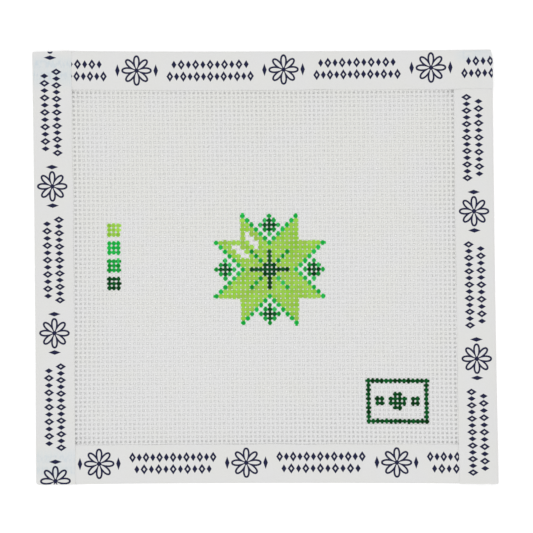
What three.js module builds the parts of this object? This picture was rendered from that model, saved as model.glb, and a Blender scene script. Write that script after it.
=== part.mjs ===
// Needlepoint canvas: one square of stiff mono canvas whose four cut edges are bound with folded cotton tape.
// Millimetres, +Z up. The cloth lies flat, painted side up, +Y towards the top edge of the design.
// The origin is the middle of the footprint, on the surface the cloth lies on.
import * as THREE from 'three';

// ---- driving dimensions ----------------------------------------------------
const TL = [-73.64, 68.41]; // outer corners of the bound edge, which is a little out of square
const TR = [71.65, 68.82];
const BR = [73.64, -68.50];
const BL = [-72.38, -68.82];
const WIDTH = 145.9; // nominal length of the top and bottom edges
const HEIGHT = 137.2; // nominal length of the left and right edges
const CANVAS_T = 0.85; // over a crossing of two threads
const TAPE_T = 0.25;
const TAPE_UPPER_W = 12.4; // width of the tape's upper layer, from the fold
const TAPE_LOWER_W = 12.1; // width of its lower layer: 25.4 mm tape in all, with the turn over the edge
const LAYER_GAP = 0.05; // clear air between layers
const EDGE_INSET = 0.55; // from the outside of a fold to the cut edge of what it holds
const FOLD_R_OUT = 0.45;
const FOLD_R_IN = 0.2;
const SIDE_PINCH = 0.2; // how far the left and right edges bow inwards at the middle
const END_PINCH = 0.42; // the same on the top and bottom edges
const PINCH_DEPTH = 30; // the bow has died out this far in from the edge
const CROSS_END = 12.75; // a tape is level over the tape that it crosses, up to here from its end
const RAMP_END = 15.4; // and has come down to its own level here
const RIM_FLAT = 12.7; // the canvas is level under the tapes
const SAG_END = 26; // and has settled onto the surface this far in from the edge
const CUT_DX = 0.7; // the top right corner is cut a little slantwise
const CUT_LEN = 3.6;
const FADE_IN = 8;

const STEP = TAPE_T + LAYER_GAP; // one more layer lifts what lies on it by this

// ---- the plan shape --------------------------------------------------------
const clamp01 = (x) => Math.min(1, Math.max(0, x));
const smooth = (x) => { const t = clamp01(x); return t * t * (3 - 2 * t); };

// a is the distance from the left edge and b from the top edge, as on the cloth when it was square.
function place(a, b) {
  const u = a / WIDTH, v = b / HEIGHT;
  const mix = (k) => (1 - u) * (1 - v) * TL[k] + u * (1 - v) * TR[k] + u * v * BR[k] + (1 - u) * v * BL[k];
  let x = mix(0), y = mix(1);
  const bowSide = SIDE_PINCH * 4 * v * (1 - v), bowEnd = END_PINCH * 4 * u * (1 - u);
  x += bowSide * (1 - smooth(a / PINCH_DEPTH)) - bowSide * (1 - smooth((WIDTH - a) / PINCH_DEPTH));
  y -= bowEnd * (1 - smooth(b / PINCH_DEPTH)) - bowEnd * (1 - smooth((HEIGHT - b) / PINCH_DEPTH));
  x -= CUT_DX * Math.pow(clamp01(1 - b / CUT_LEN), 1.5) * (1 - smooth((WIDTH - a) / FADE_IN));
  return [x, y];
}

// ---- the layer heights -----------------------------------------------------
const rim = (d) => 1 - smooth((d - RIM_FLAT) / (SAG_END - RIM_FLAT)); // d: distance in from an edge
const cross = (d) => 1 - smooth((d - CROSS_END) / (RAMP_END - CROSS_END)); // d: distance from a tape's end
const canvasUnderside = (a, b) => STEP * (rim(Math.min(a, WIDTH - a)) + rim(Math.min(b, HEIGHT - b)));

// ---- mesh helpers ----------------------------------------------------------
function solid(name, points, quads, colour, roughness) {
  const g = new THREE.BufferGeometry();
  g.setAttribute('position', new THREE.Float32BufferAttribute(points.flat(), 3));
  const index = [];
  for (const [p, q, r, s] of quads) index.push(p, q, r, p, r, s);
  g.setIndex(index);
  g.computeVertexNormals();
  const m = new THREE.Mesh(g, new THREE.MeshStandardMaterial({ color: colour, roughness, metalness: 0 }));
  m.name = name;
  return m;
}

function spaced(list, top) {
  // the list, mirrored about top / 2, with evenly spaced values between
  const last = list[list.length - 1], n = Math.ceil((top - 2 * last) / 12) | 1, out = [...list];
  for (let i = 1; i < n; i++) out.push(last + ((top - 2 * last) * i) / n);
  for (let i = list.length - 1; i >= 0; i--) out.push(top - list[i]);
  return out;
}

// ---- the canvas: a thin slab that lies on the surface in the middle and rises to the level of the bound edge
function canvas() {
  const lines = [EDGE_INSET, 2.2, 4, 8, RIM_FLAT, 14.5, 16.5, 18.5, 20.5, 22.5, 24.5, SAG_END];
  const A = spaced(lines, WIDTH), B = spaced(lines, HEIGHT), points = [], quads = [];
  for (const layer of [0, CANVAS_T]) {
    for (const b of B) for (const a of A) {
      const [x, y] = place(a, b);
      points.push([x, y, canvasUnderside(a, b) + layer]);
    }
  }
  const nA = A.length, nB = B.length, at = (i, j, top) => (top ? nA * nB : 0) + j * nA + i;
  for (let j = 0; j + 1 < nB; j++) for (let i = 0; i + 1 < nA; i++) {
    quads.push([at(i, j, 1), at(i, j + 1, 1), at(i + 1, j + 1, 1), at(i + 1, j, 1)]);
    quads.push([at(i, j, 0), at(i + 1, j, 0), at(i + 1, j + 1, 0), at(i, j + 1, 0)]);
  }
  for (let i = 0; i + 1 < nA; i++) {
    quads.push([at(i, 0, 0), at(i, 0, 1), at(i + 1, 0, 1), at(i + 1, 0, 0)]);
    quads.push([at(i, nB - 1, 0), at(i + 1, nB - 1, 0), at(i + 1, nB - 1, 1), at(i, nB - 1, 1)]);
  }
  for (let j = 0; j + 1 < nB; j++) {
    quads.push([at(0, j, 0), at(0, j + 1, 0), at(0, j + 1, 1), at(0, j, 1)]);
    quads.push([at(nA - 1, j, 0), at(nA - 1, j, 1), at(nA - 1, j + 1, 1), at(nA - 1, j + 1, 0)]);
  }
  return solid('canvas', points, quads, 0xdcdcda, 0.85);
}

// ---- a tape: a U-shaped strip folded over one edge
// side gives the point of the cloth at s along the edge and t in from it. overStart and overEnd say whether the
// tape laps over its neighbour at that end, or is held under it.
function tape(name, length, side, overStart, overEnd, turn) {
  const lines = [0, EDGE_INSET, 2.2, CUT_LEN, 8, CROSS_END, 13.4, 14.1, 14.8, RAMP_END, 17, 19, 21, 23.5, SAG_END];
  const S = spaced(lines, length).filter((s) => s >= (overStart ? 0 : EDGE_INSET) && s <= length - (overEnd ? 0 : EDGE_INSET));
  const points = [], quads = [], n = 20;
  for (const s of S) {
    const d = Math.min(s, length - s), over = s < length / 2 ? overStart : overEnd;
    const low = over ? 0 : STEP * cross(d);
    const under = STEP * (1 + rim(d)) + CANVAS_T + LAYER_GAP + (over ? STEP * cross(d) : 0);
    const top = under + TAPE_T, lowTop = low + TAPE_T, profile = [];
    profile.push([TAPE_LOWER_W, low]);
    for (let k = 0; k <= 3; k++) {
      const w = (k * Math.PI) / 6;
      profile.push([FOLD_R_OUT * (1 - Math.sin(w)), low + FOLD_R_OUT * (1 - Math.cos(w))]);
    }
    for (let k = 0; k <= 3; k++) {
      const w = (k * Math.PI) / 6;
      profile.push([FOLD_R_OUT * (1 - Math.cos(w)), top - FOLD_R_OUT * (1 - Math.sin(w))]);
    }
    profile.push([TAPE_UPPER_W, top], [TAPE_UPPER_W, under]);
    for (let k = 3; k >= 0; k--) {
      const w = (k * Math.PI) / 6;
      profile.push([TAPE_T + FOLD_R_IN * (1 - Math.cos(w)), under - FOLD_R_IN * (1 - Math.sin(w))]);
    }
    for (let k = 3; k >= 0; k--) {
      const w = (k * Math.PI) / 6;
      profile.push([TAPE_T + FOLD_R_IN * (1 - Math.sin(w)), lowTop + FOLD_R_IN * (1 - Math.cos(w))]);
    }
    profile.push([TAPE_LOWER_W, lowTop]);
    for (const [t, z] of profile) points.push([...side(s, t), z]);
  }
  const add = (p, q, r, s) => quads.push(turn ? [p, q, r, s] : [s, r, q, p]);
  for (let i = 0; i + 1 < S.length; i++) for (let k = 0; k < n; k++) {
    const m = (k + 1) % n;
    add(i * n + k, (i + 1) * n + k, (i + 1) * n + m, i * n + m);
  }
  const last = (S.length - 1) * n;
  for (let k = 0; k < n / 2 - 1; k++) {
    add(k, k + 1, n - 2 - k, n - 1 - k);
    add(last + k, last + n - 1 - k, last + n - 2 - k, last + k + 1);
  }
  return solid(name, points, quads, 0xe0e0de, 0.9);
}

const needlepointCanvas = new THREE.Group();
needlepointCanvas.add(
  canvas(),
  tape('tape_left', HEIGHT, (s, t) => place(t, s), true, true, true),
  tape('tape_right', HEIGHT, (s, t) => place(WIDTH - t, s), false, true, false),
  tape('tape_top', WIDTH, (s, t) => place(s, t), false, true, false),
  tape('tape_bottom', WIDTH, (s, t) => place(s, HEIGHT - t), false, false, true),
);
export default needlepointCanvas;
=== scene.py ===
import math

import bpy
import numpy as np
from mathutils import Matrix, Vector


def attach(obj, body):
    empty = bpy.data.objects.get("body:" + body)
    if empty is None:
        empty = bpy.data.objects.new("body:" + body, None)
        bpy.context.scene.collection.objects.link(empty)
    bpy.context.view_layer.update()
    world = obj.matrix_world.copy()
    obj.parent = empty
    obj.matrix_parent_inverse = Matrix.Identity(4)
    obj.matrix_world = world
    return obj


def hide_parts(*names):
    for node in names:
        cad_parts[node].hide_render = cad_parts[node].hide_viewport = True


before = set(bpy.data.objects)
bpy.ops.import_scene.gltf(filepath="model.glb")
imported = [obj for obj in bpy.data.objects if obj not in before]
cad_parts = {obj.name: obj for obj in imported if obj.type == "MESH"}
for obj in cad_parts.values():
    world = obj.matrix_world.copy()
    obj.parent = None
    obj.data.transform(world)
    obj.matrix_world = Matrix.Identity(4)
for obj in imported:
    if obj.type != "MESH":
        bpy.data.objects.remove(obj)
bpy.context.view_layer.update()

# ---------------------------------------------------------------- the shape, as in the CAD part
TL = (-73.64, 68.41)
TR = (71.65, 68.82)
BR = (73.64, -68.50)
BL = (-72.38, -68.82)
WIDTH, HEIGHT = 145.9, 137.2
CANVAS_T, TAPE_T = 0.85, 0.25
TAPE_UPPER_W, TAPE_LOWER_W = 12.4, 12.1
LAYER_GAP = 0.05
STEP = TAPE_T + LAYER_GAP
SIDE_PINCH, END_PINCH, PINCH_DEPTH = 0.2, 0.42, 30.0
CROSS_END, RAMP_END = 12.75, 15.4
RIM_FLAT, SAG_END = 12.7, 26.0
CUT_DX, CUT_LEN, FADE_IN = 0.7, 3.6, 8.0


def clamp01(x):
    return np.clip(x, 0.0, 1.0)


def smooth(x):
    t = clamp01(x)
    return t * t * (3 - 2 * t)


def place(a, b):
    """The point of the cloth a in from its left edge and b down from its top edge."""
    a, b = np.broadcast_arrays(np.asarray(a, float), np.asarray(b, float))
    u, v = a / WIDTH, b / HEIGHT
    x, y = (
        (1 - u) * (1 - v) * TL[k] + u * (1 - v) * TR[k] + u * v * BR[k] + (1 - u) * v * BL[k]
        for k in (0, 1)
    )
    side = SIDE_PINCH * 4 * v * (1 - v)
    end = END_PINCH * 4 * u * (1 - u)
    x = x + side * (1 - smooth(a / PINCH_DEPTH)) - side * (1 - smooth((WIDTH - a) / PINCH_DEPTH))
    y = y - end * (1 - smooth(b / PINCH_DEPTH)) + end * (1 - smooth((HEIGHT - b) / PINCH_DEPTH))
    x = x - CUT_DX * clamp01(1 - b / CUT_LEN) ** 1.5 * (1 - smooth((WIDTH - a) / FADE_IN))
    return x, y


def rim(d):
    return 1 - smooth((d - RIM_FLAT) / (SAG_END - RIM_FLAT))


def cross(d):
    return 1 - smooth((d - CROSS_END) / (RAMP_END - CROSS_END))


def canvas_underside(a, b):
    return STEP * (rim(np.minimum(a, WIDTH - a)) + rim(np.minimum(b, HEIGHT - b)))


def spread_over(grid, a, b):
    """A three by three table of values, laid over the cloth and read between its points."""
    u, v = np.clip(a / WIDTH, 0, 1) * 2, np.clip(b / HEIGHT, 0, 1) * 2
    i, j = np.minimum(u.astype(int), 1), np.minimum(v.astype(int), 1)
    fu, fv = u - i, v - j
    g = np.asarray(grid, float)
    return (g[j, i] * (1 - fu) + g[j, i + 1] * fu) * (1 - fv) + (g[j + 1, i] * (1 - fu) + g[j + 1, i + 1] * fu) * fv


# How high the weave stands just inside the tapes. It settles towards the surface in the middle, most along the near
# edge, and is held up furthest at the lower right corner.
STANDS = ((0.20, 0.13, 0.24), (0.22, 0.10, 0.24), (0.08, 0.015, 0.75))
LOWEST = 0.015


def thread_floor(a, b):
    """Height of the underside of the woven threads."""
    d = np.minimum(np.minimum(a, WIDTH - a), np.minimum(b, HEIGHT - b))
    held = canvas_underside(a, b) + CANVAS_T / 2 - TOP[-1]
    free = LOWEST + (spread_over(STANDS, a, b) - LOWEST) * rim(d)
    step = smooth((d - 12.3) / 2.8)
    return held * (1 - step) + free * step


def lift(x, y):
    """How far the whole cloth stands off the surface here: stiff canvas never lies quite flat."""
    field = 0.09 * (1 + np.sin(2 * math.pi * (x / 96 + 0.13) + 1.1 * np.sin(2 * math.pi * y / 131)))
    field = field + 0.06 * (1 + np.sin(2 * math.pi * (y / 78 - 0.2) + 0.8))
    edge = smooth(np.maximum(np.abs(x) / 74, np.abs(y) / 69) * 1.6 - 0.6)
    return field * (0.25 + 0.75 * edge)


def drawn(x, y):
    """How far the weave is drawn out of square here: the threads of a canvas cut by hand run a little askew."""
    X, Y = np.clip((x - 0.24) / 63.28, -1.0, 1.0), np.clip((0.16 - y) / 63.28, -1.0, 1.0)
    terms = (np.ones_like(X), X, Y, X * X, X * Y, Y * Y, X**3, X * X * Y, X * Y * Y, Y**3)
    dx = sum(k * t for k, t in zip(DRAWN_X, terms))
    dy = sum(k * t for k, t in zip(DRAWN_Y, terms))
    return dx, dy


DRAWN_X = (0.2598, -0.2074, -0.2148, -0.0447, -0.0478, -0.2112, 0.3007, -0.1640, 0.2974, 0.2795)
DRAWN_Y = (0.0362, 0.1605, 0.2460, -0.0923, -0.0573, 0.1209, -0.0853, -0.2935, -0.1264, -0.5887)


# ---------------------------------------------------------------- meshes
def make_piece(name, points, quads, caps, maps, values, colours, material):
    """A piece from arrays: points in mm, four-cornered faces, flat end caps, UV maps by face corner, values by point."""
    mesh = bpy.data.meshes.new(name)
    quads = np.asarray(quads, np.int32)
    cap_loops = [np.asarray(c, np.int32) for c in caps]
    loops = np.concatenate([quads.ravel(), *cap_loops]) if cap_loops else quads.ravel()
    sizes = np.concatenate([np.full(len(quads), 4), [len(c) for c in cap_loops]]).astype(np.int32)
    starts = np.concatenate([[0], np.cumsum(sizes)[:-1]]).astype(np.int32)
    mesh.vertices.add(len(points))
    mesh.vertices.foreach_set("co", (np.asarray(points, float) * 0.001).astype(np.float32).ravel())
    mesh.loops.add(len(loops))
    mesh.loops.foreach_set("vertex_index", loops)
    mesh.polygons.add(len(sizes))
    mesh.polygons.foreach_set("loop_start", starts)
    for label, uv in maps:
        layer = mesh.uv_layers.new(name=label, do_init=False)
        layer.uv.foreach_set("vector", np.asarray(uv, np.float32).ravel())
    mesh.uv_layers.active = mesh.uv_layers[maps[0][0]]
    mesh.uv_layers[maps[0][0]].active_render = True
    for label, value in values.items():
        mesh.attributes.new(label, "FLOAT", "POINT").data.foreach_set("value", np.asarray(value, np.float32))
    for label, value in colours.items():
        mesh.color_attributes.new(label, "FLOAT_COLOR", "POINT").data.foreach_set(
            "color", np.asarray(value, np.float32).ravel()
        )
    mesh.polygons.foreach_set("use_smooth", np.ones(len(sizes), bool))
    mesh.update(calc_edges=True)
    mesh.set_sharp_from_angle(angle=math.radians(62))
    mesh.materials.append(material)
    o = bpy.data.objects.new(name, mesh)
    bpy.context.scene.collection.objects.link(o)
    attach(o, "root")
    return o


# ---------------------------------------------------------------- node graphs written as sums
class Graph:
    """A material's node tree, with a few short ways to write maths in it."""

    def __init__(self, name):
        self.material = bpy.data.materials.new(name)
        self.material.use_nodes = True
        self.tree = self.material.node_tree
        self.tree.nodes.clear()
        self.out = self.tree.nodes.new("ShaderNodeOutputMaterial")
        self.shader = self.tree.nodes.new("ShaderNodeBsdfPrincipled")
        self.tree.links.new(self.shader.outputs["BSDF"], self.out.inputs["Surface"])

    def put(self, socket, value):
        if isinstance(value, Term):
            self.tree.links.new(value.socket, socket)
        elif isinstance(value, bpy.types.NodeSocket):
            self.tree.links.new(value, socket)
        elif hasattr(value, "__len__") and hasattr(socket.default_value, "__len__"):
            n = len(socket.default_value)
            socket.default_value = (list(value) + [1.0] * n)[:n]
        else:
            socket.default_value = value

    def math(self, operation, *args, clamp=False):
        node = self.tree.nodes.new("ShaderNodeMath")
        node.operation = operation
        node.use_clamp = clamp
        for socket, value in zip(node.inputs, args):
            self.put(socket, value)
        return Term(self, node.outputs[0])

    def map(self, label):
        node = self.tree.nodes.new("ShaderNodeUVMap")
        node.uv_map = label
        split = self.tree.nodes.new("ShaderNodeSeparateXYZ")
        self.tree.links.new(node.outputs[0], split.inputs[0])
        return Term(self, split.outputs[0]), Term(self, split.outputs[1])

    def value(self, label):
        node = self.tree.nodes.new("ShaderNodeAttribute")
        node.attribute_name = label
        return Term(self, node.outputs["Fac"])

    def colour(self, label):
        node = self.tree.nodes.new("ShaderNodeAttribute")
        node.attribute_name = label
        return node.outputs["Color"], Term(self, node.outputs["Alpha"])

    def vector(self, x, y, z=0.0):
        node = self.tree.nodes.new("ShaderNodeCombineXYZ")
        for socket, value in zip(node.inputs, (x, y, z)):
            self.put(socket, value)
        return node.outputs[0]

    def object_place(self):
        return self.tree.nodes.new("ShaderNodeTexCoord").outputs["Object"]

    def noise(self, where, scale, detail=2.0, rough=0.5):
        node = self.tree.nodes.new("ShaderNodeTexNoise")
        self.put(node.inputs["Vector"], where)
        node.inputs["Scale"].default_value = scale
        node.inputs["Detail"].default_value = detail
        node.inputs["Roughness"].default_value = rough
        return Term(self, node.outputs["Fac"])

    def ramp(self, value, low, high, to_low=0.0, to_high=1.0):
        node = self.tree.nodes.new("ShaderNodeMapRange")
        node.interpolation_type = "SMOOTHSTEP"
        for socket, v in zip(node.inputs, (value, low, high, to_low, to_high)):
            self.put(socket, v)
        return Term(self, node.outputs[0])

    def mix(self, share, one, two, blend="MIX"):
        node = self.tree.nodes.new("ShaderNodeMix")
        node.data_type = "RGBA"
        node.blend_type = blend
        self.put(node.inputs[0], share)
        self.put(node.inputs[6], one)
        self.put(node.inputs[7], two)
        return node.outputs[2]

    def scaled(self, colour, share):
        """The colour times a number."""
        grey = self.tree.nodes.new("ShaderNodeCombineColor")
        for k in range(3):
            self.put(grey.inputs[k], share)
        return self.mix(1.0, colour, grey.outputs[0], "MULTIPLY")

    def bump(self, height, distance, strength=1.0):
        node = self.tree.nodes.new("ShaderNodeBump")
        node.inputs["Strength"].default_value = strength
        node.inputs["Distance"].default_value = distance
        self.put(node.inputs["Height"], height)
        self.tree.links.new(node.outputs[0], self.shader.inputs["Normal"])

    def finish(self, colour, roughness, sheen=0.0, specular=0.3):
        s = self.shader.inputs
        self.put(s["Base Color"], colour)
        self.put(s["Roughness"], roughness)
        s["Specular IOR Level"].default_value = specular
        s["Sheen Weight"].default_value = sheen
        s["Sheen Roughness"].default_value = 0.5
        return self.material


class Term:
    def __init__(self, graph, socket):
        self.graph, self.socket = graph, socket

    def _do(self, operation, *args, **kw):
        return self.graph.math(operation, *args, **kw)

    def __add__(self, o):
        return self._do("ADD", self, o)

    __radd__ = __add__

    def __sub__(self, o):
        return self._do("SUBTRACT", self, o)

    def __rsub__(self, o):
        return self._do("SUBTRACT", o, self)

    def __mul__(self, o):
        return self._do("MULTIPLY", self, o)

    __rmul__ = __mul__

    def __truediv__(self, o):
        return self._do("DIVIDE", self, o)

    def __abs__(self):
        return self._do("ABSOLUTE", self)

    def sin(self):
        return self._do("SINE", self)

    def cos(self):
        return self._do("COSINE", self)

    def fract(self):
        return self._do("FRACT", self)

    def floor(self):
        return self._do("FLOOR", self)

    def low(self, o):
        return self._do("MINIMUM", self, o)

    def high(self, o):
        return self._do("MAXIMUM", self, o)

    def under(self, o):
        return self._do("LESS_THAN", self, o)

    def over(self, o):
        return self._do("GREATER_THAN", self, o)


def linear(r, g, b):
    """A colour given as it shows on screen, 0 to 255, in the renderer's own scale."""
    c = np.array([r, g, b]) / 255
    return tuple(np.where(c <= 0.04045, c / 12.92, ((c + 0.055) / 1.055) ** 2.4))


# ---------------------------------------------------------------- the paint: which crossings carry which colour
# A crossing is (column, row), counted from the left and the top of the whole cloth.
PITCH_A, PITCH_B = 1.4110, 1.4131
COLUMN_0, ROW_0 = 7.38, 10.925
LIME = [linear(152, 199, 80), linear(142, 194, 64), linear(150, 190, 76)]
EMERALD = [linear(34, 178, 76), linear(16, 162, 60), linear(26, 170, 68)]
LEAF = [linear(26, 155, 63), linear(8, 134, 44), linear(54, 182, 88)]
DEEP = [linear(0, 66, 26), linear(0, 54, 19), linear(10, 82, 34)]
INK_GREEN = [linear(0, 66, 24), linear(0, 50, 14), linear(4, 84, 34)]


def painted():
    """Colour family of each painted crossing, and how full the brush was, 0 to 1."""
    found = {}

    def dab(c, r, family, load=0.0):
        found[(c, r)] = (family, load)

    # the colour key at the left: four squares of three by three crossings
    for row, family in ((50, "lime"), (54, "emerald"), (58, "leaf"), (62, "deep")):
        for r in range(row, row + 3):
            for c in range(24, 27):
                dab(c, r, family)
    # an eight-pointed star, the old ornament of woven and knitted borders
    for dy in range(-12, 13):
        for dx in range(-12, 13):
            x, y = max(abs(dx), abs(dy)), min(abs(dx), abs(dy))
            inside = x - y <= 6 and y <= 6
            notch = abs(x - 10) + y
            if inside:
                family = "lime"
                if x - y == 6:
                    family = "emerald"
                elif x == y and x <= 4:
                    family = "leaf"
                elif y == 0 and x <= 4:
                    family = "deep"
                if max(abs(dx), abs(dy)) <= 1:
                    family = "deep"
                if 2 <= x - y <= 3 and 3 <= y <= 5 and x <= 8 and dx < 0 and dy < 0:
                    continue  # the bare canvas is left as the light on it
                dab(60 + dx, 60 + dy, family, 1.0 if family == "lime" else 0.4)
            elif notch <= 1:
                dab(60 + dx, 60 + dy, "deep")
            elif notch == 2:
                dab(60 + dx, 60 + dy, "leaf")
    # a one-thread frame low on the right, round a plain figure of an octagon between two squares
    for c in range(82, 96):
        for r in (85, 94):
            dab(c, r, "frame")
    for r in range(85, 95):
        for c in (82, 95):
            dab(c, r, "frame")
    for r in range(88, 92):
        for c in range(87, 91):
            if not (r in (88, 91) and c in (87, 90)):
                dab(c, r, "frame")
    for c0 in (84, 92):
        for c in (c0, c0 + 1):
            for r in (89, 90):
                dab(c, r, "frame")
    return found


# Where the brush ran further along a thread than it meant to: (column, row, kind, direction) and how far.
SPURS = {
    (26, 50, "weft", 1): 0.80, (26, 51, "weft", 1): 0.66, (26, 58, "warp", -1): 0.86, (26, 58, "weft", 1): 0.74,
    (26, 60, "weft", 1): 0.70, (26, 63, "weft", 1): 0.72, (24, 62, "weft", -1): 0.66, (24, 60, "weft", -1): 0.66,
    (82, 85, "weft", -1): 0.70, (95, 85, "weft", 1): 0.76, (91, 94, "warp", 1): 0.72, (82, 85, "warp", -1): 0.68,
    (72, 54, "weft", 1): 0.78, (48, 66, "weft", -1): 0.74, (54, 48, "warp", -1): 0.76, (66, 72, "warp", 1): 0.72,
}
FAMILIES = {
    "lime": LIME, "emerald": EMERALD, "leaf": LEAF, "deep": DEEP, "frame": INK_GREEN,
}
PAINT = painted()

# ---------------------------------------------------------------- the canvas threads
HALF_W = 0.425
# Top of a thread against its phase, 1 where it passes over its neighbour and -1 where it passes under: pressed flat
# against the other thread at a crossing, and full between crossings.
PHASE = np.array([-1, -0.81, -0.588, -0.3, 0, 0.3, 0.588, 0.81, 1])
TOP = np.array([-0.005, 0.02, 0.185, 0.215, 0.23, 0.245, 0.265, 0.278, 0.285])
SECTION = np.array([[1, -0.1], [0.70, 0.72], [0, 1], [-0.70, 0.72], [-1, -0.1], [0, -1]], float)
REACH_LOSS = np.array([0.20, 0.07, 0.0, 0.07, 0.20, 0.42])  # paint reaches less far down the sides and underneath
COARSE = (-0.375, -0.125, 0.125, 0.375)
FINE = (-0.4375, -0.3125, -0.1875, -0.0625, 0.0625, 0.1875, 0.3125, 0.4375)
COLUMNS, ROWS = range(9, 110), range(13, 107)
END_IN = 1.25  # the cut ends stop this far inside the outline, in the fold of the tape


def stations(start, end, show_from, show_to, fine):
    """Where a thread's rings stand, in crossings along it."""
    at = [start]
    for k in range(math.ceil(start), math.floor(end) + 1):
        if show_from <= k <= show_to:
            for off in FINE if k in fine else COARSE:
                at.append(k + off)
        else:
            at.append(float(k))
    at = [t for t in at if start + 0.05 < t < end - 0.05]
    return np.array([start, *at, end])


def drift(rng, count, size, every):
    """A slow random wander: one value for each of count steps."""
    knots = rng.normal(0, size, count // every + 4)
    t = np.arange(count) / every + 1
    i = t.astype(int)
    f = t - i
    p0, p1, p2, p3 = knots[i - 1], knots[i], knots[i + 1], knots[i + 2]
    return 0.5 * (2 * p1 + (p2 - p0) * f + (2 * p0 - 5 * p1 + 4 * p2 - p3) * f**2 + (3 * p1 - p0 - 3 * p2 + p3) * f**3)


def held_back(d):
    """How much shorter a thread is cut where the fold round its end is drawn in, under the next tape."""
    return 0.5 * float(1 - smooth((d - 9.6) / 2.6))


def thread(kind, index):
    """Rings, colours and maps of one thread. A warp runs down the cloth, a weft across it."""
    rng = np.random.RandomState(1000 * (kind == "weft") + index)
    if kind == "warp":
        fixed = (index - COLUMN_0) * PITCH_A
        start = ROW_0 + (END_IN + held_back(fixed)) / PITCH_B
        end = ROW_0 + (HEIGHT - END_IN - held_back(min(fixed, WIDTH - fixed))) / PITCH_B
        show = (19, 100) if 11.5 < fixed < WIDTH - 11.5 else (1, 0)
        fine = {r for (c, r) in PAINT if c == index}
        fine |= {r + d for (c, r, k, d) in SPURS if k == kind and c == index}
    else:
        fixed = (index - ROW_0) * PITCH_B
        start, end = COLUMN_0 + END_IN / PITCH_A, COLUMN_0 + (WIDTH - END_IN - held_back(fixed)) / PITCH_A
        show = (15, 103) if 11.5 < fixed < HEIGHT - 11.5 else (1, 0)
        fine = {c for (c, r) in PAINT if r == index}
        fine |= {c + d for (c, r, k, d) in SPURS if k == kind and r == index}
    t = stations(start, end, show[0], show[1], fine)
    wander = np.interp(t, np.arange(120), drift(rng, 120, 0.014, 4))
    fat = 1 + np.interp(t, np.arange(120), drift(rng, 120, 0.022, 3))
    sign = 1.0 if index % 2 == 0 else -1.0
    if kind == "warp":
        a, b = np.full(len(t), fixed) + wander, (t - ROW_0) * PITCH_B
        phase = sign * np.cos(math.pi * t)
    else:
        a, b = (t - COLUMN_0) * PITCH_A, np.full(len(t), fixed) + wander
        phase = -sign * np.cos(math.pi * t)
    top, bottom = np.interp(phase, PHASE, TOP), -np.interp(-phase, PHASE, TOP)
    x, y = place(a, b)
    dx, dy = drawn(x, y)
    x, y = x + dx, y + dy
    z = thread_floor(a, b) + TOP[-1] + lift(x, y) + (top + bottom) / 2
    line = np.stack([x, y, z], 1)
    along = np.gradient(line, t, axis=0)
    along /= np.linalg.norm(along, axis=1)[:, None]
    flat = along.copy()
    flat[:, 2] = 0
    flat /= np.linalg.norm(flat, axis=1)[:, None]
    across = np.stack([flat[:, 1], -flat[:, 0], np.zeros(len(t))], 1)
    up = np.cross(across, along)
    # paint on each ring
    near = np.round(t).astype(int)
    cover = np.full((len(t), 6), -0.5)
    colour = np.zeros((len(t), 4))
    colour[:, :3] = LIME[0]
    plump, clog = np.zeros(len(t)), np.zeros(len(t))  # paint makes a thread thicker, and closes the holes a little
    shades = {}
    for k, (pos, n) in enumerate(zip(t, near)):
        best = None
        for m in (n, n + (1 if pos > n else -1)):
            key = (index, m) if kind == "warp" else (m, index)
            if key in PAINT:
                best = m, key
                break
        if best is None:
            continue
        m, key = best
        if key not in shades:
            family, load = PAINT[key]
            pick = rng.randint(len(FAMILIES[family]))
            tone = np.array(FAMILIES[family][pick]) * (1 + rng.normal(0, 0.05))
            run = 0.57 if family == "frame" else 0.54
            back, forth = run + rng.normal(0, 0.045), run + rng.normal(0, 0.045)
            shades[key] = tone, load, SPURS.get((*key, kind, -1), back), SPURS.get((*key, kind, 1), forth)
        tone, load, back, forth = shades[key]
        away = abs(pos - m)
        reach = (forth if pos > m else back) - REACH_LOSS * (1 - 0.55 * load) + 0.02 * load
        cover[k] = np.clip(0.5 + (reach - away) * 3.0, -0.5, 2.0)
        pool = 0.87 + 0.08 * load + (0.27 - 0.19 * load) * smooth((away - 0.16) / 0.24)  # thickest on the crossings
        colour[k, :3] = np.clip(tone * pool, 0, 1)
        colour[k, 3] = 1.0
        plump[k] = 0.012 * clamp01(1 - away * 1.6)
        clog[k] = 0.035 * load
    nap = 1 + 0.03 * np.cos(2 * math.pi * t)  # flatter and wider over each crossing
    wide = (HALF_W * nap * fat + plump * 0.5 + clog)[:, None]
    thick = ((top - bottom) / 2 + plump)[:, None]
    rings = (
        line[:, None, :]
        + across[:, None, :] * (SECTION[:, 0][None, :] * wide)[:, :, None]
        + up[:, None, :] * (SECTION[:, 1][None, :] * thick)[:, :, None]
    )
    length = np.concatenate([[0], np.cumsum(np.linalg.norm(np.diff(line, axis=0), axis=1))])
    return rings, cover, colour, length + rng.rand() * 50, t


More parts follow.
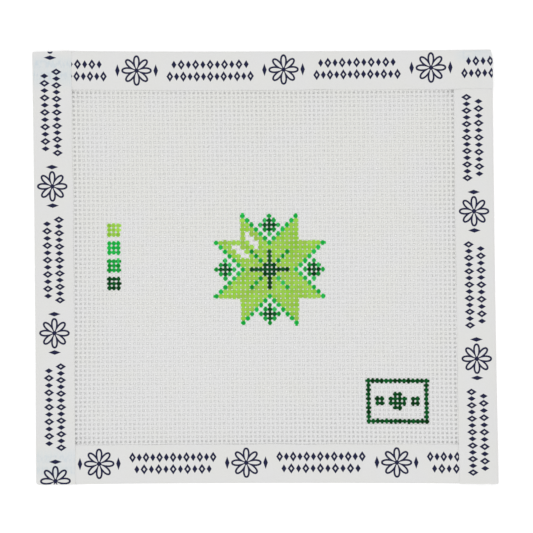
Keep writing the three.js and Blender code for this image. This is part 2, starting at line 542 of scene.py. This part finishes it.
def woven_piece(name, kind, indices, material):
    points, quads, caps, cover, colour = [], [], [], [], []
    own_map, bake_map, cap_own, cap_bake, cells = [], [], [], [], []
    base = 0
    N = 6
    for index in indices:
        rings, cov, col, length, t = thread(kind, index)
        n = len(rings)
        points.append(rings.reshape(-1, 3))
        cover.append(cov.ravel())
        colour.append(np.repeat(col, N, axis=0))
        cell = np.empty((n, N, 2))
        if kind == "warp":
            cell[:, :, 0], cell[:, :, 1] = index, t[:, None]
        else:
            cell[:, :, 0], cell[:, :, 1] = t[:, None], index
        cells.append(cell.reshape(-1, 2))
        i, k = np.meshgrid(np.arange(n - 1), np.arange(N), indexing="ij")
        m = (k + 1) % N
        # one side of the thread, ring to ring, faces out
        q = np.stack([i * N + k, i * N + m, (i + 1) * N + m, (i + 1) * N + k], -1).reshape(-1, 4)
        quads.append(q + base)
        side = k.ravel()
        u0, u1 = length[i.ravel()], length[i.ravel() + 1]
        own_map.append(np.stack([
            np.stack([u0, side / N], 1), np.stack([u0, (side + 1) / N], 1),
            np.stack([u1, (side + 1) / N], 1), np.stack([u1, side / N], 1),
        ], 1))
        bake_map.append(side < 4)
        caps.append(np.arange(N)[::-1] + base)
        caps.append(np.arange(N) + base + (n - 1) * N)
        cap_own += [[[length[0], j / N] for j in range(N)][::-1], [[length[-1], j / N] for j in range(N)]]
        base += n * N
    points = np.concatenate(points)
    quads = np.concatenate(quads)
    upper = np.concatenate(bake_map)
    # which way the faces run: they must point out of the thread
    p = points[quads[0]]
    centre = points[:N].mean(0)
    if np.dot(np.cross(p[1] - p[0], p[3] - p[0]), p.mean(0) - centre) < 0:
        turn = True
    else:
        turn = False
    own = np.concatenate(own_map)
    if turn:
        quads = quads[:, ::-1]
        own = own[:, ::-1]
        caps = [c[::-1] for c in caps]
        cap_own = [c[::-1] for c in cap_own]
    lo, hi = points.min(0), points.max(0)
    long_, cross_ = (1, 0) if kind == "warp" else (0, 1)
    flat = np.stack([
        0.004 + 0.992 * (points[:, long_] - lo[long_]) / (hi[long_] - lo[long_]),
        0.004 + 0.488 * (points[:, cross_] - lo[cross_]) / (hi[cross_] - lo[cross_]),
    ], 1)
    bake = flat[quads]
    bake[~upper, :, 1] += 0.504
    cap_flat = [flat[c] for c in caps]
    own = np.concatenate([own.reshape(-1, 2), np.array(cap_own, float).reshape(-1, 2)])
    bake = np.concatenate([bake.reshape(-1, 2), np.concatenate(cap_flat).reshape(-1, 2)])
    cell = np.concatenate(cells)
    loops = np.concatenate([quads.ravel(), np.concatenate(caps)])
    return make_piece(
        name, points, quads, caps,
        [("thread", own), ("cloth", cell[loops]), ("OFBake", bake)],
        {"cover": np.concatenate(cover)}, {"paint": np.concatenate(colour)}, material,
    )


def thread_material():
    g = Graph("sized_cotton_thread")
    u, v = g.map("thread")
    c, r = g.map("cloth")
    own = g.vector(u, v * 2.6)
    cells = g.vector(c, r)
    # plies: ridges that wind round the thread, broken up a little
    wind = (u * 9.2 + v * 12.566 + g.noise(own, 1.3, 1.0) * 2.2).sin()
    fibre = g.noise(g.vector(u * 1.2, v * 16.0), 2.2, 3.0, 0.6)
    slow = g.noise(cells, 0.11, 2.0)
    cream = g.mix(g.ramp(slow - (r - 60.0) * 0.003, 0.35, 0.7), linear(219, 219, 219), linear(219, 219, 216))
    # the cotton is painted a touch lighter on the ply ridges and darker in the grooves between them: painted shade
    # that follows the bump below
    cotton = g.scaled(cream, 0.955 + wind * 0.012 + fibre * 0.07)
    # paint: a ragged edge, thin where it was pulled out, and a stroke's own unevenness
    tone, strength = g.colour("paint")
    grain = g.noise(cells, 3.1, 3.0, 0.62)
    speck = g.noise(own, 3.6, 2.0, 0.6)
    edge = g.value("cover") + (grain - 0.5) * 0.55 + (speck - 0.5) * 0.3
    mask = g.ramp(edge, 0.30, 0.55) * strength * g.ramp(speck + grain, 0.55, 0.8, 0.9, 1.0)
    patch = g.noise(cells, 0.45, 2.0, 0.6)
    shade = 0.86 + patch * 0.2 + grain * 0.12
    painted_ = g.scaled(tone, shade)
    mixed = g.mix(mask, cotton, painted_)
    # one small dark fleck of lint caught in the weave
    dc, dr = c - 41.5, r - 43.8
    fleck = g.ramp(dc * dc + dr * dr * 2.0 + (speck - 0.5) * 0.1, 0.03, 0.10, 1.0, 0.0)
    mixed = g.mix(fleck * 0.75, mixed, linear(120, 116, 108))
    rough = 0.82 - mask * 0.26 + (fibre - 0.5) * 0.12
    g.bump(wind * 0.35 * (1.0 - mask * 0.6) + fibre * 0.5 + grain * mask * 0.8, 0.00005, 0.4)
    return g.finish(mixed, rough, sheen=0.0, specular=0.06)


# ---------------------------------------------------------------- the tapes
RUN_UP, RUN_LOW = 1.5, 0.8  # how far in from the outline the fold's curve reaches, above and below
HALF_REPEAT = 23.4  # from a row block's middle to the next rosette's middle


def tape_path():
    """Points across the tape: (distance in, turn of the fold in degrees or None, share of the thickness)."""
    upper = [(12.40, 0.30), (12.35, 0.50), (12.22, 0.72), (11.98, 0.90), (11.5, 1.0), (9.8, 1.0), (8.2, 1.0), (6.4, 1.0), (4.6, 1.0), (3.2, 1.0), (2.2, 1.0)]
    lower = [(1.5, 1.0), (3.0, 1.0), (5.4, 1.0), (8.4, 1.0), (10.6, 1.0), (11.75, 1.0), (11.96, 0.97), (12.06, 0.75), (12.10, 0.35)]
    path = [(t, None, s, 1) for t, s in upper]
    path += [(None, a, 1.0, 1) for a in (90, 77, 65, 54, 43, 32, 21, 10)]
    path += [(None, a, 1.0, -1) for a in (0, 15, 30, 47, 67, 90)]
    path += [(t, None, s, -1) for t, s in lower]
    return path


PATH = tape_path()


def tape(name, length, side, over_start, over_end, opts, material, slot):
    rng = np.random.RandomState(opts["seed"])
    first = 0.0 if over_start else 1.4
    last = length if over_end else length - 1.4
    step = 0.7
    mid = np.arange(first + 3.5, last - 3.5, step)
    ends = np.array([0, 0.12, 0.3, 0.55, 0.85, 1.2, 1.6, 2.05, 2.5, 3.0])
    S = np.concatenate([first + ends, mid, last - ends[::-1]])
    n_s, n_p = len(S), len(PATH)
    d = np.minimum(S, length - S)
    over = np.where(S < length / 2, over_start, over_end)
    low = np.where(over, 0, STEP * cross(d))
    under = STEP * (1 + rim(d)) + CANVAS_T + LAYER_GAP + np.where(over, STEP * cross(d), 0)
    # a held end is short: its own fold is closed round the canvas only
    wave = np.interp(S, np.arange(0, 160, 1.0), drift(rng, 160, 0.016, 9))
    curl = np.clip(np.interp(S, np.arange(0, 160, 1.0), drift(rng, 160, 0.04, 7)), -0.04, 0.06) - 0.09
    curl = curl - 0.08 * smooth((d - 12.4) / 2.4)  # over the weave the inner edge lies close
    rests = np.where(over, 1 - smooth((d - 12.4) / 2.4), 0)  # where it laps over another tape it just rests on it
    curl = curl * (1 - rests) - 0.058 * rests
    edge = np.interp(S, np.arange(0, 160, 1.0), drift(rng, 160, 0.05, 6))
    fold = np.interp(S, np.arange(0, 160, 1.0), drift(rng, 160, 0.05, 5))
    zl = low + TAPE_T / 2
    t_mid = np.zeros((n_s, n_p))
    z_mid = np.zeros((n_s, n_p))
    thick = np.zeros(n_p)
    droop = np.where(over, 0.22 * (1 - smooth(d / 1.7)), 0)
    for k, (t, angle, share, level) in enumerate(PATH):
        thick[k] = share
        zu = under + TAPE_T / 2 + np.abs(wave)
        zc = zl + 0.42 * (zu - zl)
        if angle is None:
            width = TAPE_UPPER_W if level > 0 else TAPE_LOWER_W
            t_mid[:, k] = t + (edge if level > 0 else edge * 0.5) * smooth((t - 8) / (width - 8))
            z_mid[:, k] = zu + curl * smooth((t - 8.5) / 3.9) - droop * smooth((13 - t) / 3) if level > 0 else zl
            if level > 0:
                z_mid[:, k] -= (1 - share) * TAPE_T / 2 * 0.9
        else:
            w = math.radians(angle)
            run = (RUN_UP if level > 0 else RUN_LOW) - TAPE_T / 2 + fold * 0.8 * math.sin(w)
            t_mid[:, k] = TAPE_T / 2 + run * (1 - math.cos(w))
            z_mid[:, k] = zc + (zu - zc) * math.sin(w) * 1.0 - droop * math.sin(w) if level > 0 else zc - (zc - zl) * math.sin(w)
    # an end that lies under the next tape is drawn in a little, so that the tape over it covers its fold
    tuck = (not over_start) * (1 - smooth((S - 9.6) / 2.6)) + (not over_end) * (1 - smooth((length - S - 9.6) / 2.6))
    t_mid -= (opts["out"] - 0.36 * tuck)[:, None]
    tt = np.gradient(t_mid, axis=1)
    tz = np.gradient(z_mid, axis=1)
    size = np.hypot(tt, tz)
    nt, nz = tz / size, -tt / size  # turned so that it points away from the canvas
    half = TAPE_T / 2 * thick[None, :]
    outer_t, outer_z = t_mid + nt * half, z_mid + nz * half
    inner_t, inner_z = t_mid - nt * half, z_mid - nz * half
    arc = np.concatenate([[0], np.cumsum(np.hypot(np.diff(t_mid[n_s // 2]), np.diff(z_mid[n_s // 2])))])
    apex = arc[[k for k, p in enumerate(PATH) if p[1] == 0][0]]
    arc = apex - arc  # positive on the upper side, 0 at the fold
    # corners and cut ends: a little shift of the last few millimetres
    shift_0 = opts["start"](t_mid) if over_start else np.zeros_like(t_mid)
    shift_1 = opts["end"](t_mid) if over_end else np.zeros_like(t_mid)
    ragged_0 = np.interp(t_mid, np.linspace(0, 13, 40), rng.normal(0, 0.035, 40))
    ragged_1 = np.interp(t_mid, np.linspace(0, 13, 40), rng.normal(0, 0.035, 40))
    s_at = (
        S[:, None]
        + (shift_0 + ragged_0) * (1 - smooth((S - first) / 4.0))[:, None]
        - (shift_1 + ragged_1) * (1 - smooth((last - S) / 4.0))[:, None]
    )
    s_at = np.clip(s_at, first - 0.3, last + 0.3)
    sheets = []
    for t, z in ((outer_t, outer_z), (inner_t, inner_z)):
        x, y = side(s_at, t)
        bend = opts.get("bend")
        if bend is not None:
            x, y = bend(s_at, x, y)
        sheets.append(np.stack([x, y, z + lift(x, y)], -1))
    points = np.concatenate([sheets[0].reshape(-1, 3), sheets[1].reshape(-1, 3)])
    M = n_s * n_p
    quads, strip, marks, bake = [], [], [], []
    s_u = (S - first) / (last - first)
    v_out = 0.03 + 0.80 * (arc[0] - arc) / (arc[0] - arc[-1])
    v_in = 0.86 + 0.09 * (arc[0] - arc) / (arc[0] - arc[-1])
    P = opts["pattern"](s_at)
    R = t_mid - np.interp(S, opts["middle"][0], opts["middle"][1])[:, None]
    far = np.full_like(R, -60.0)  # the underside is plain: nothing of the ornament lies between the fold and here
    on_top = np.array([p[3] > 0 for p in PATH])[None, :] & np.ones((n_s, 1), bool)
    R = np.where(on_top, R, far)

    def corner(i, k, inner):
        return (1 if inner else 0) * M + i * n_p + k

    I, K = np.meshgrid(np.arange(n_s - 1), np.arange(n_p - 1), indexing="ij")
    I, K = I.ravel(), K.ravel()
    for inner in (False, True):
        ring = [(I, K), (I + 1, K), (I + 1, K + 1), (I, K + 1)]
        if inner:
            ring = ring[::-1]
        quads.append(np.stack([corner(i, k, inner) for i, k in ring], 1))
        v = v_in if inner else v_out
        strip.append(np.stack([np.stack([s_at[i, k], arc[k] + (100 if inner else 0)], 1) for i, k in ring], 1))
        marks.append(np.stack([np.stack([P[i, k], np.full(len(i), 60.0) if inner else R[i, k]], 1) for i, k in ring], 1))
        bake.append(np.stack([np.stack([s_u[i], v[k]], 1) for i, k in ring], 1))
    # the two long edges
    i = np.arange(n_s - 1)
    for k, row in ((0, 0.0), (n_p - 1, 0.975)):
        ring = [(i, False), (i + 1, False), (i + 1, True), (i, True)]
        if k == 0:
            ring = ring[::-1]
        ks = np.full(len(i), k)
        quads.append(np.stack([corner(j, ks, inner) for j, inner in ring], 1))
        strip.append(np.stack([np.stack([s_at[j, ks], np.full(len(i), arc[k] + 0.2 * inner)], 1) for j, inner in ring], 1))
        marks.append(np.stack([np.stack([P[j, ks], np.full(len(i), 60.0)], 1) for j, inner in ring], 1))
        bake.append(np.stack([np.stack([s_u[j], np.full(len(i), row + 0.004 + 0.016 * inner)], 1) for j, inner in ring], 1))
    # the two ends
    k = np.arange(n_p - 1)
    for i_end, u0 in ((0, 0.0), (n_s - 1, 0.5)):
        ring = [(k, False), (k + 1, False), (k + 1, True), (k, True)]
        if i_end:
            ring = ring[::-1]
        js = np.full(len(k), i_end)
        quads.append(np.stack([corner(js, kk, inner) for kk, inner in ring], 1))
        strip.append(np.stack([np.stack([np.full(len(k), S[i_end] + 0.2 * inner), arc[kk]], 1) for kk, inner in ring], 1))
        marks.append(np.stack([np.stack([P[js, kk], np.full(len(k), 60.0)], 1) for kk, inner in ring], 1))
        bake.append(np.stack([np.stack([u0 + 0.01 + 0.47 * (arc[0] - arc[kk]) / (arc[0] - arc[-1]), np.full(len(k), 0.955 + 0.012 * inner)], 1) for kk, inner in ring], 1))
    quads = np.concatenate(quads)
    strip, marks, bake = (np.concatenate(x) for x in (strip, marks, bake))
    tri = points[quads]
    volume = (np.cross(tri[:, 0], tri[:, 1]) * tri[:, 2]).sum() + (np.cross(tri[:, 0], tri[:, 2]) * tri[:, 3]).sum()
    if volume < 0:
        quads, strip, marks, bake = (x[:, ::-1] for x in (quads, strip, marks, bake))
    flat_w = float(arc[0] - arc[-1])
    o = make_piece(
        name, points, quads, [],
        [("strip", strip.reshape(-1, 2)), ("marks", marks.reshape(-1, 2)), ("OFBake", bake.reshape(-1, 2))],
        {}, {}, material,
    )
    return o, flat_w, last - first


def lozenge(g, x, y, a, b):
    """Distance outside a diamond of half-width a and half-height b."""
    k = a * b / math.hypot(a, b)
    return (abs(x) * (1 / a) + abs(y) * (1 / b) - 1.0) * k


def ornament(g, p, r):
    """Distance to the nearest printed line, in mm. p runs along the tape and r across it, inwards."""
    turn = p * (1 / (2 * HALF_REPEAT))
    text = ((turn + 0.5).fract() - 0.5) * (2 * HALF_REPEAT)  # along, from the middle of the two rows
    rose = (turn.fract() - 0.5) * (2 * HALF_REPEAT)  # along, from the middle of the rosette
    found = None
    for middle, half, cells, a, b, swap in ((1.9, 13.9, 13, 0.72, 1.12, 0), (-1.9, 12.65, 11, 0.78, 1.12, 1)):
        size = 2 * half / cells
        c = (text + half) * (1 / size)
        x = (c.fract() - 0.5) * size
        odd = ((c.floor() * 0.5).fract()) * 2.0
        y = r - middle
        open_ = abs(lozenge(g, x, y, a, b)) - 0.30
        solid_ = lozenge(g, x, y, 0.80, 1.30)
        pick = odd if swap == 0 else 1.0 - odd
        row = open_ + (solid_ - open_) * pick
        row = row + abs(text).over(half) * 9.0
        found = row if found is None else found.low(row)
    # rosette of eight petals with a ringed eye, between two slim diamonds
    x, y = rose, r
    dist = g.math("SQRT", x * x + y * y)
    angle = g.math("ARCTAN2", y, x)
    petal = abs((angle * 4.0).cos())
    line = 1.55 + petal * 3.0
    slope = abs((angle * 4.0).sin()) * 12.0 / dist.high(0.8)
    fix = g.math("SQRT", slope * slope + 1.0)
    outline = abs(dist - line) / fix - 0.30
    eye = dist - 0.72
    slim = lozenge(g, abs(x) - 6.1, y, 0.72, 2.0)
    found = found.low(outline).low(eye).low(slim)
    return found


def tape_material(name, shows):
    """shows: the squares near the ends where the print of the tape below shows through, as
    (from, to, rows, how much, how far in from the fold)."""
    g = Graph(name)
    s, q = g.map("strip")
    p, r = g.map("marks")
    strip = g.vector(s, q)
    # plain weave, about 28 threads to the centimetre
    across = (s * (2 * math.pi * 2.8)).sin()
    along = (q * (2 * math.pi * 2.8)).sin()
    weave = across * along
    fibre = g.noise(g.vector(s * 1.0, q * 3.0), 1.6, 3.0, 0.6)
    slow = g.noise(strip, 0.09, 2.0)
    base = g.mix(g.ramp(slow, 0.3, 0.7), linear(219, 219, 219), linear(219, 219, 216.5))
    # the cotton is painted a touch lighter on the raised threads of the weave and darker in its hollows: painted shade
    # that follows the bump below
    cotton = g.scaled(base, 0.965 + weave * 0.012 + (fibre - 0.5) * 0.05)
    d = ornament(g, p, r)
    wick = g.noise(strip, 3.4, 3.0, 0.65)
    ink = g.ramp(d + (wick - 0.5) * 0.12 + weave * 0.02, -0.06, 0.07, 1.0, 0.0)
    ink = ink * (0.985 + weave * 0.01 + (fibre - 0.5) * 0.05).low(1.0)
    navy = g.mix(g.ramp(wick, 0.3, 0.75), linear(8, 11, 44), linear(22, 28, 70))
    # where two more layers lie beneath, their print shows through as a pale blue shadow with faint streaks
    for lo, hi, rows, wash, near in shows:
        inside = g.ramp(s, lo, lo + 3.0) * g.ramp(s, hi - 3.6, hi + 0.4, 1.0, 0.0) * q.over(0.5) * q.under(50.0)
        inside = inside * g.ramp(q, near, near + 2.4, 1.0, 0.12)
        band = None
        for middle in rows:
            one = g.ramp(abs(s - middle), 0.8, 1.5, 1.0, 0.0)
            band = one if band is None else band.high(one)
        streak = g.ramp(g.noise(g.vector(s * 0.35, q * 1.9), 0.9, 2.0, 0.6), 0.36, 0.64)
        blotch = g.ramp(g.noise(g.vector(s * 0.6, q * 1.1), 0.9, 2.0, 0.6), 0.42, 0.6)
        cotton = g.mix(inside * (streak * 0.10 + 0.10) * wash, cotton, linear(180, 204, 213))
        cotton = g.mix(inside * band * blotch * 0.14 * wash, cotton, linear(150, 178, 200))
    colour = g.mix(ink, cotton, navy)
    g.bump(weave * 0.5 + fibre * 0.6, 0.00005, 0.6)
    rough = 0.88 - ink * 0.12 + (fibre - 0.5) * 0.1
    return g.finish(colour, rough, sheen=0.0, specular=0.08)


def pattern(knots, first):
    """Where along the print's repeat each point of a tape lies: the blocks' measured middles are a half repeat apart."""
    knots = np.array(knots)
    values = HALF_REPEAT * (first + np.arange(len(knots)))
    lo = (values[1] - values[0]) / (knots[1] - knots[0])
    hi = (values[-1] - values[-2]) / (knots[-1] - knots[-2])

    def at(s):
        inside = np.interp(s, knots, values)
        return np.where(s < knots[0], values[0] + (s - knots[0]) * lo, np.where(s > knots[-1], values[-1] + (s - knots[-1]) * hi, inside))

    return at


def rounded(radius, slope=0.0, over=9.0, back=0.0, fore=0.0):
    """How far a cut end stands back from square: round at the fold, perhaps a little slanted, further out inwards."""

    def at(t):
        t = np.maximum(t, 0)
        r = max(radius, 1e-6)
        round_ = np.where(t < r, r - np.sqrt(np.maximum(r * r - (r - np.minimum(t, r)) ** 2, 0)), 0)
        return back + round_ + slope * (1 - clamp01(t / over)) - fore * smooth((t - 8) / 3)

    return at


# ---------------------------------------------------------------- build
cotton_thread = thread_material()
half_c, half_r = COLUMNS[len(COLUMNS) // 2] + 1, ROWS[len(ROWS) // 2]
warp_left = woven_piece("canvas_warp_left", "warp", range(COLUMNS[0], half_c), cotton_thread)
warp_right = woven_piece("canvas_warp_right", "warp", range(half_c, COLUMNS[-1] + 1), cotton_thread)
weft_top = woven_piece("canvas_weft_top", "weft", range(ROWS[0], half_r), cotton_thread)
weft_bottom = woven_piece("canvas_weft_bottom", "weft", range(half_r, ROWS[-1] + 1), cotton_thread)
for o in (warp_left, warp_right, weft_top, weft_bottom):
    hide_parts("canvas")

TAPES = {
    "tape_left": dict(
        length=HEIGHT, side=lambda s, t: place(t, s), over=(True, True), seed=31,
        pattern=pattern([-3.9, 19.5, 42.9, 66.2, 89.3, 112.7, 136.1], -1), middle=([19.5, 66.2, 112.7], [5.6, 5.95, 6.08]),
        out=0.08, start=rounded(0.25, 0.3, back=0.1, fore=0.14), end=rounded(0.8, back=0.05, fore=0.08), shows=[(0.6, 12.6, (4.2, 8.0), 1.25, 13.0), (HEIGHT - 12.6, HEIGHT - 1.0, (HEIGHT - 8.2, HEIGHT - 4.5), 0.95, 13.0)],
    ),
    "tape_right": dict(
        length=HEIGHT, side=lambda s, t: place(WIDTH - t, s), over=(False, True), seed=32,
        pattern=pattern([4.5, 27.8, 51.1, 74.3, 97.7, 120.9, 144.2], -1), middle=([27.8, 74.3, 120.9], [6.33, 6.12, 5.95]),
        out=0.20, start=rounded(0), end=rounded(0.4, back=-0.11), shows=[],
    ),
    "tape_top": dict(
        length=WIDTH, side=lambda s, t: place(s, t), over=(False, True), seed=33,
        pattern=pattern([9.7, 33.0, 56.4, 79.7, 102.9, 126.5, 150.0], 0), middle=([56.4, 102.9], [6.1, 5.5]),
        out=0.04, start=rounded(0), end=rounded(0.2, back=-0.24), shows=[(WIDTH - 12.6, WIDTH + 2.0, (WIDTH - 8.1, WIDTH - 4.4), 1.0, 2.6)],
    ),
    "tape_bottom": dict(
        length=WIDTH, side=lambda s, t: place(s, HEIGHT - t), over=(False, False), seed=34,
        pattern=pattern([-3.3, 19.9, 43.3, 66.4, 89.8, 114.0, 137.4], 0), middle=([43.3, 89.8], [6.4, 6.55]),
        out=0.03, start=rounded(0), end=rounded(0), shows=[],
    ),
}
plain_tape = tape_material("printed_cotton_tape", [])
for name, it in TAPES.items():
    finish_ = tape_material("printed_" + name, it["shows"]) if it["shows"] else plain_tape
    o, flat_w, flat_l = tape("binding_" + name, it["length"], it["side"], *it["over"], it, finish_, "binding_tape")
    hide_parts(name)
    flat_w / 1000
    flat_l / 1000

# ---------------------------------------------------------------- surface, light and camera
KEY, AMBIENT, GLOW = 0.18, 0.94, 0.10
g = Graph("pale_surface")
cloud = g.noise(g.object_place(), 3.0, 2.0)
surface = g.finish(g.scaled(linear(250, 250, 250), 0.985 + cloud * 0.03), 0.9, specular=0.1)
g.shader.inputs["Emission Color"].default_value = (1, 1, 1, 1)
g.shader.inputs["Emission Strength"].default_value = GLOW
mesh = bpy.data.meshes.new("surface")
size = 4.0
mesh.from_pydata([(-size, -size, 0), (size, -size, 0), (size, size, 0), (-size, size, 0)], [], [(0, 1, 2, 3)])
mesh.materials.append(surface)
floor = bpy.data.objects.new("surface", mesh)
floor.location.z = -0.00002
bpy.context.scene.collection.objects.link(floor)

lamp = bpy.data.lights.new("softbox", "AREA")
lamp.shape = "RECTANGLE"
lamp.size, lamp.size_y = 0.62, 0.62
lamp_at = np.array([-0.05, -0.05, 1.10])
away = float(np.linalg.norm(lamp_at))
lamp.energy = KEY * math.pi**2 * away**2 / (lamp_at[2] / away)
light = bpy.data.objects.new("softbox", lamp)
light.location = lamp_at
light.rotation_euler = Vector(lamp_at).to_track_quat("Z", "Y").to_euler()
bpy.context.scene.collection.objects.link(light)

world = bpy.data.worlds.new("studio")
bpy.context.scene.world = world
world.use_nodes = True
wt = world.node_tree
wt.nodes.clear()
w_out = wt.nodes.new("ShaderNodeOutputWorld")
w_back = wt.nodes.new("ShaderNodeBackground")
w_at = wt.nodes.new("ShaderNodeTexCoord")
w_split = wt.nodes.new("ShaderNodeSeparateXYZ")
w_map = wt.nodes.new("ShaderNodeMapRange")
w_map.interpolation_type = "SMOOTHSTEP"
for k, v in enumerate((0.0, 0.06, 0.30, 1.06, AMBIENT)):
    if k:
        w_map.inputs[k].default_value = v
wt.links.new(w_at.outputs["Generated"], w_split.inputs[0])
wt.links.new(w_split.outputs[2], w_map.inputs[0])
wt.links.new(w_map.outputs[0], w_back.inputs["Strength"])
w_back.inputs["Color"].default_value = (1, 1, 1, 1)
wt.links.new(w_back.outputs[0], w_out.inputs[0])

FRAME_MM, AWAY_MM = 168.6, 1000.0
camera = bpy.data.cameras.new("camera")
camera.type = "PERSP"
camera.sensor_width = 36.0
camera.lens = 36.0 * AWAY_MM / FRAME_MM
camera.clip_start, camera.clip_end = 0.01, 20.0
eye = bpy.data.objects.new("camera", camera)
eye.location = (0.000395, 0.00019, AWAY_MM / 1000 + 0.0012)
bpy.context.scene.collection.objects.link(eye)
bpy.context.scene.camera = eye
bpy.context.scene.view_settings.view_transform = "Standard"
bpy.context.scene.view_settings.look = "None"

bpy.context.view_layer.update()
